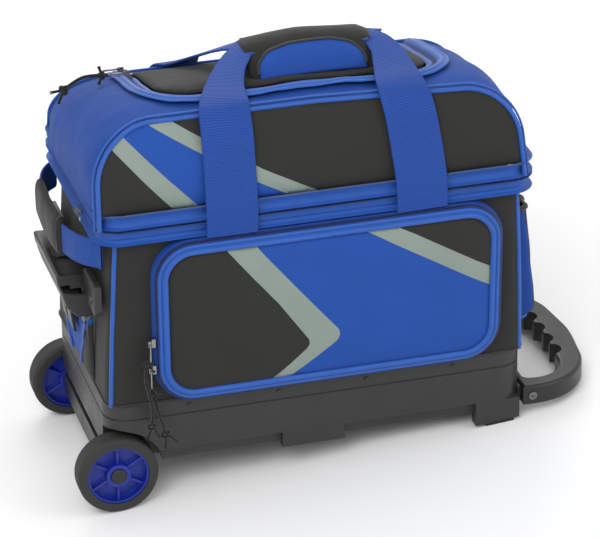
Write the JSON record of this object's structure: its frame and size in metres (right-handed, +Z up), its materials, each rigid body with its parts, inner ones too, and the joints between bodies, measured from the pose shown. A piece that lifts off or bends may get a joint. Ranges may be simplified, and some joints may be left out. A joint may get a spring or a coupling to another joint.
{
  "type": "wheeled bowling ball bag",
  "caption": "Wheeled two-ball bag: moulded base, fabric ball compartment, hinged shoe compartment, pockets, carry straps, telescopic handle and pull loop.",
  "frame": {"origin": "centre of the footprint of the bag standing on its two wheels and two rubber feet, at floor level", "axes": "+X along the length from the wheels and telescopic handle to the moulded pull loop, +Y from the front pocket to the back, +Z up"},
  "size_m": [0.6074, 0.2846, 0.4701],
  "materials": {
    "base_plastic": "moulded, fine grain",
    "nylon": "natural nylon",
    "steel": "nickel plated",
    "rubber": "matt",
    "black_fabric": "coarse woven polyester",
    "blue_fabric": "coarse woven polyester",
    "foam": "charcoal foam",
    "lining": "padded lining",
    "aluminium_tube": "anodised",
    "black_plastic": "moulded",
    "blue_webbing": "ribbed webbing",
    "board": "fabric covered board",
    "tyre": "matt rubber",
    "wheel_blue": "moulded",
    "cord": "braided cord"
  },
  "bodies": {
    "base": {"base_tub": "base_plastic", "axle_bushes": "nylon", "wheel_axle": "steel", "rubber_feet": "rubber", "skirt_rivets": "steel", "pull_loop": "base_plastic", "pull_loop_screws": "steel", "ball_compartment": "black_fabric", "body_zipper_rim": "blue_fabric", "foam_cradle_left": "foam", "foam_cradle_right": "foam", "ball_divider": "lining", "pocket_gusset": "blue_fabric", "side_pocket": "blue_fabric", "outer_tubes": "aluminium_tube", "tube_feet": "black_plastic", "handle_bracket": "black_plastic", "handle_cover": "black_fabric", "bracket_tab": "black_plastic", "bracket_screws": "steel", "end_loop": "blue_webbing", "end_loop_wrap": "black_fabric"},
    "wheel_front": {"tyre_front": "tyre", "rim_front": "wheel_blue", "hub_cap_front": "black_plastic"},
    "wheel_rear": {"tyre_rear": "tyre", "rim_rear": "wheel_blue", "hub_cap_rear": "black_plastic"},
    "lid": {"lid_shell": "black_fabric", "lid_floor_board": "board", "lid_zipper_rim": "blue_fabric"},
    "top_flap": {"top_flap": "black_fabric"},
    "pocket_panel": {"pocket_panel": "blue_fabric"},
    "lower_stage": {"lower_stage_tubes": "aluminium_tube"},
    "middle_stage": {"middle_stage_tubes": "aluminium_tube"},
    "upper_stage": {"upper_stage_tubes": "aluminium_tube", "telescope_grip": "black_plastic"},
    "release_button": {"release_button": "black_plastic"},
    "front_strap": {"front_strap": "blue_webbing", "handle_wrap": "black_fabric"},
    "rear_strap": {"rear_strap": "blue_webbing"},
    "pocket_upper_slider": {"pocket_upper_slider": "steel"},
    "pocket_upper_tab": {"pocket_upper_tab": "steel"},
    "pocket_upper_cord": {"pocket_upper_cord": "cord"},
    "pocket_lower_slider": {"pocket_lower_slider": "steel"},
    "pocket_lower_tab": {"pocket_lower_tab": "steel"},
    "pocket_lower_cord": {"pocket_lower_cord": "cord"},
    "top_front_slider": {"top_front_slider": "steel"},
    "top_front_tab": {"top_front_tab": "steel"},
    "top_front_cord": {"top_front_cord": "cord"},
    "top_rear_slider": {"top_rear_slider": "steel"},
    "top_rear_tab": {"top_rear_tab": "steel"},
    "lid_slider": {"lid_slider": "steel"},
    "lid_tab": {"lid_tab": "steel"}
  },
  "joints": [
    {"name": "wheel_front_spin", "type": "hinge", "parent": "base", "child": "wheel_front", "pos_m": [-0.25871, -0.1103, 0.045], "axis": [0, 1, 0], "continuous": true},
    {"name": "wheel_rear_spin", "type": "hinge", "parent": "base", "child": "wheel_rear", "pos_m": [-0.25871, 0.1207, 0.045], "axis": [0, 1, 0], "continuous": true},
    {"name": "lid_open", "type": "hinge", "parent": "base", "child": "lid", "pos_m": [-0.00202, 0.1367, 0.32068], "axis": [-0.9963, 0, 0.0854], "range_deg": [0, 100], "deforming": ["front_strap", "rear_strap", "handle_wrap"]},
    {"name": "top_flap_open", "type": "hinge", "parent": "lid", "child": "top_flap", "pos_m": [0.00513, 0.0928, 0.40408], "axis": [-0.9963, 0, 0.0854], "range_deg": [0, 100]},
    {"name": "pocket_panel_open", "type": "hinge", "parent": "base", "child": "pocket_panel", "pos_m": [-0.02009, -0.1337, 0.10995], "axis": [0.9963, 0, -0.0854], "range_deg": [0, 95]},
    {"name": "front_strap_drop", "type": "hinge", "parent": "base", "child": "front_strap", "pos_m": [-0.00338, -0.1274, 0.30484], "axis": [0.9963, 0, -0.0854], "range_deg": [0, 150]},
    {"name": "rear_strap_drop", "type": "hinge", "parent": "base", "child": "rear_strap", "pos_m": [-0.00338, 0.1378, 0.30484], "axis": [-0.9963, 0, 0.0854], "range_deg": [0, 150]},
    {"name": "telescope_lower_stage", "type": "slide", "parent": "base", "child": "lower_stage", "axis": [-0.0366, 0, 0.9993], "range_m": [0, 0.115]},
    {"name": "telescope_middle_stage", "type": "slide", "parent": "lower_stage", "child": "middle_stage", "axis": [-0.0366, 0, 0.9993], "range_m": [0, 0.115]},
    {"name": "telescope_upper_stage", "type": "slide", "parent": "middle_stage", "child": "upper_stage", "axis": [-0.0366, 0, 0.9993], "range_m": [0, 0.115], "deforming": ["end_loop", "end_loop_wrap"]},
    {"name": "release_button_press", "type": "slide", "parent": "upper_stage", "child": "release_button", "axis": [-0.0854, 0, -0.9963], "range_m": [0, 0.001], "stiffness_N_per_m": 200},
    {"name": "pocket_upper_zip", "type": "slide", "parent": "base", "child": "pocket_upper_slider", "axis": [0.0854, 0, 0.9963], "range_m": [0, 0.062]},
    {"name": "pocket_upper_tab_swing", "type": "hinge", "parent": "pocket_upper_slider", "child": "pocket_upper_tab", "pos_m": [-0.20795, -0.1313, 0.20033], "axis": [0, 1, 0], "range_deg": [0, 80]},
    {"name": "pocket_upper_cord_hang", "type": "hinge", "parent": "pocket_upper_tab", "child": "pocket_upper_cord", "pos_m": [-0.20919, -0.1313, 0.18588], "axis": [0, 1, 0], "range_deg": [0, 35]},
    {"name": "pocket_lower_zip", "type": "slide", "parent": "base", "child": "pocket_lower_slider", "axis": [-0.0854, 0, -0.9963], "range_m": [0, 0.012]},
    {"name": "pocket_lower_tab_swing", "type": "hinge", "parent": "pocket_lower_slider", "child": "pocket_lower_tab", "pos_m": [-0.21069, -0.1313, 0.16845], "axis": [0, 1, 0], "range_deg": [0, 4]},
    {"name": "pocket_lower_cord_hang", "type": "hinge", "parent": "pocket_lower_tab", "child": "pocket_lower_cord", "pos_m": [-0.21193, -0.1313, 0.154], "axis": [0, 1, 0], "range_deg": [0, 2]},
    {"name": "top_front_zip", "type": "slide", "parent": "lid", "child": "top_front_slider", "axis": [0.0208, -0.9698, 0.2431], "range_m": [0, 0.045]},
    {"name": "top_front_tab_swing", "type": "hinge", "parent": "top_front_slider", "child": "top_front_tab", "pos_m": [-0.16206, 0.05854, 0.43243], "axis": [-0.0208, 0.9698, -0.2431], "range_deg": [0, 70]},
    {"name": "top_front_cord_hang", "type": "hinge", "parent": "top_front_tab", "child": "top_front_cord", "pos_m": [-0.17651, 0.05854, 0.43367], "axis": [-0.0208, 0.9698, -0.2431], "range_deg": [0, 35]},
    {"name": "top_rear_zip", "type": "slide", "parent": "lid", "child": "top_rear_slider", "axis": [-0.0208, 0.9698, -0.2431], "range_m": [0, 0.012]},
    {"name": "top_rear_tab_swing", "type": "hinge", "parent": "top_rear_slider", "child": "top_rear_tab", "pos_m": [-0.16266, 0.08654, 0.42542], "axis": [-0.0208, 0.9698, -0.2431], "range_deg": [0, 70]},
    {"name": "lid_zip", "type": "slide", "parent": "base", "child": "lid_slider", "axis": [0, -1, 0], "range_m": [0, 0.02]},
    {"name": "lid_tab_swing", "type": "hinge", "parent": "lid_slider", "child": "lid_tab", "pos_m": [-0.25694, -0.0658, 0.34304], "axis": [-0.0854, 0, -0.9963], "range_deg": [0, 80]}
  ],
  "couplings": [
    {"joint": "front_strap_drop", "follows": "lid_open", "ratio": 1.5},
    {"joint": "rear_strap_drop", "follows": "lid_open", "ratio": 1.2}
  ]
}
